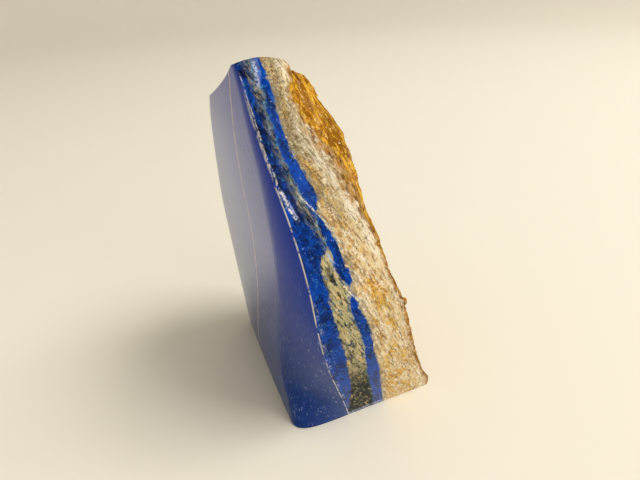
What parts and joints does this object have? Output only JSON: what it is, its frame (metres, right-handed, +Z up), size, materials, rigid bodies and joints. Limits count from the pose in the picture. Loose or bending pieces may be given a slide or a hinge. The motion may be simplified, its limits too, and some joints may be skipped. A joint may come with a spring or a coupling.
{
  "type": "polished lapis lazuli freeform",
  "caption": "Standing lapis lazuli freeform with a polished face and end, a flat cut base and a rough broken back.",
  "frame": {"origin": "bottom centre of the stone's bounding box, on the surface it stands on", "axes": "+Z up, -Y out of the polished face, +X out of the polished end that shows the layers"},
  "size_m": [0.0894, 0.0668, 0.1497],
  "materials": {
    "lapis_stone": "satin"
  },
  "bodies": {
    "root": {"lapis_stone": "lapis_stone"}
  },
  "joints": []
}
